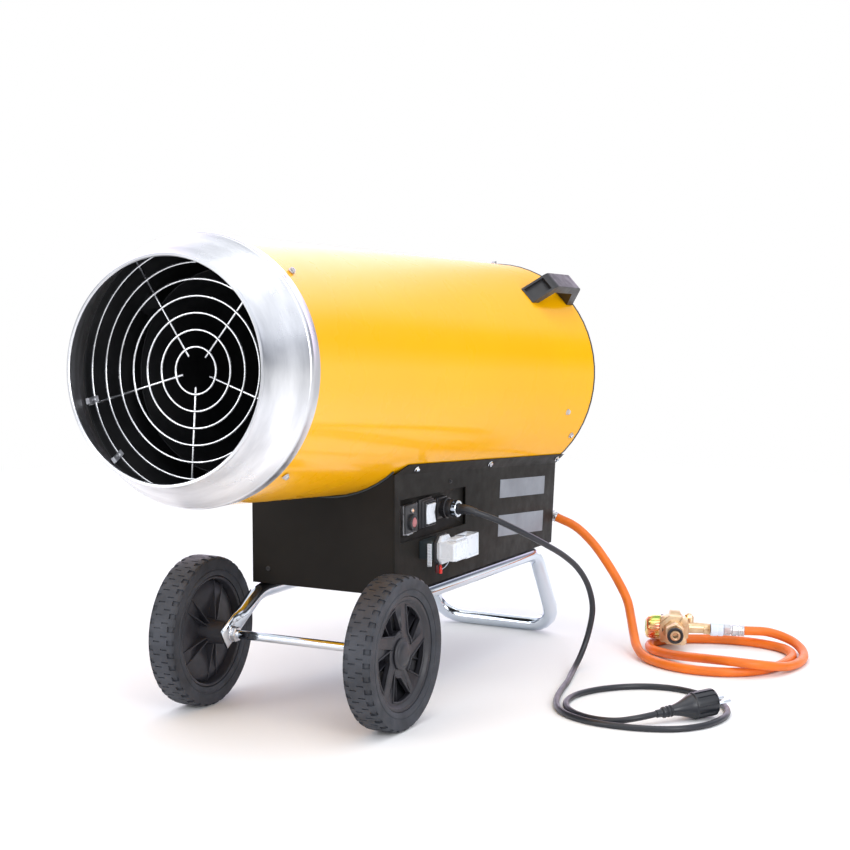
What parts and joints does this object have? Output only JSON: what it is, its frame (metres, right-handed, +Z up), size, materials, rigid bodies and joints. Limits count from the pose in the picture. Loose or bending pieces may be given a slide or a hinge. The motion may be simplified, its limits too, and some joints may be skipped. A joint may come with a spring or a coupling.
{
  "type": "forced air heater",
  "caption": "Cylindrical gas heater that blows warm air, on two wheels and a tube foot, with mains lead, gas hose and pressure regulator.",
  "frame": {"origin": "on the floor below the middle of the heater, without its leads", "axes": "+Z up, -Y the way the warm air leaves, +X the side with the controls"},
  "size_m": [0.6811, 0.9834, 0.648],
  "materials": {
    "yellow_paint": "gloss amber-yellow paint",
    "black_powder_coat": "fine satin powder coat",
    "galvanised": "galvanised sheet",
    "wire": "bright plated wire",
    "heat_steel": "heat-tinted steel",
    "chrome": "bright plating",
    "black_plastic": "satin moulded plastic",
    "soft_black": "satin moulded plastic",
    "tyre_rubber": "satin rubber",
    "white_plastic": "gloss moulded plastic",
    "red_plastic": "gloss moulded plastic",
    "brass": "cast brass",
    "yellow_zinc": "iridescent yellow zinc plating",
    "hose_orange": "smooth rubber",
    "motor_grey": "satin paint",
    "ceramic": "glazed ceramic",
    "copper": "drawn copper",
    "cord_black": "satin rubber"
  },
  "bodies": {
    "heater": {"casing": "yellow_paint", "outlet_cone": "galvanised", "outlet_guard": "wire", "inlet_guard": "black_powder_coat", "flame_tube": "heat_steel", "burner": "heat_steel", "ignition_electrode": "ceramic", "flame_sensor": "copper", "fan_motor": "motor_grey", "motor_bracket": "galvanised", "carry_handle": "black_plastic", "side_panel_right": "black_powder_coat", "side_panel_left": "black_powder_coat", "front_panel": "black_powder_coat", "rear_panel": "black_powder_coat", "base_floor": "black_powder_coat", "control_plate": "black_powder_coat", "reset_body": "black_plastic", "reset_frame": "galvanised", "rocker_bezel": "soft_black", "power_inlet": "black_plastic", "power_connector": "black_plastic", "clamp_nut": "soft_black", "socket_block": "soft_black", "socket_gasket": "black_plastic", "socket_hood": "white_plastic", "ignition_transformer": "soft_black", "control_unit": "motor_grey", "gas_valve": "brass", "supply_pipe": "copper", "burner_pipe": "copper", "axle": "chrome", "frame_tube": "chrome", "gas_inlet_elbow": "brass", "hose_ferrule": "galvanised", "regulator_body": "brass", "regulator_cap": "yellow_zinc", "regulator_seal": "soft_black", "outlet_collar": "white_plastic", "hose_crimp": "galvanised", "gas_hose": "hose_orange", "power_cord": "cord_black", "mains_plug": "soft_black", "plug_pin_a": "chrome", "plug_pin_b": "chrome"},
    "wheel_right": {"tyre_right": "tyre_rubber", "rim_right": "black_plastic", "hub_cap_right": "black_plastic"},
    "wheel_left": {"tyre_left": "tyre_rubber", "rim_left": "black_plastic", "hub_cap_left": "black_plastic"},
    "impeller": {"fan": "black_plastic"},
    "rocker": {"rocker_key": "white_plastic"},
    "reset": {"reset_button": "red_plastic"},
    "locking_lever": {"socket_lever": "white_plastic"},
    "inlet_nut": {"regulator_inlet_nut": "brass"}
  },
  "joints": [
    {"name": "right_wheel_spin", "type": "hinge", "parent": "heater", "child": "wheel_right", "pos_m": [0.146, -0.1545, 0.101], "axis": [1, 0, 0], "continuous": true},
    {"name": "left_wheel_spin", "type": "hinge", "parent": "heater", "child": "wheel_left", "pos_m": [-0.146, -0.1545, 0.101], "axis": [1, 0, 0], "continuous": true},
    {"name": "fan_spin", "type": "hinge", "parent": "heater", "child": "impeller", "pos_m": [0, 0.26972, 0.4154], "axis": [0, 0.995, -0.0998], "continuous": true},
    {"name": "rocker_tilt", "type": "hinge", "parent": "heater", "child": "rocker", "pos_m": [0.1093, 0.008, 0.256], "axis": [0, 1, 0], "range_deg": [-8, 8]},
    {"name": "reset_press", "type": "slide", "parent": "heater", "child": "reset", "axis": [-1, 0, 0], "range_m": [0, 0.0025], "stiffness_N_per_m": 600, "springref_m": -0.003},
    {"name": "lever_swing", "type": "hinge", "parent": "heater", "child": "locking_lever", "pos_m": [0.1499, 0.011, 0.209], "axis": [0, 0, -1], "range_deg": [0, 80]},
    {"name": "inlet_nut_turn", "type": "hinge", "parent": "heater", "child": "inlet_nut", "pos_m": [0.31216, 0.41239, 0.03188], "axis": [0.4131, -0.9107, 0], "continuous": true}
  ]
}
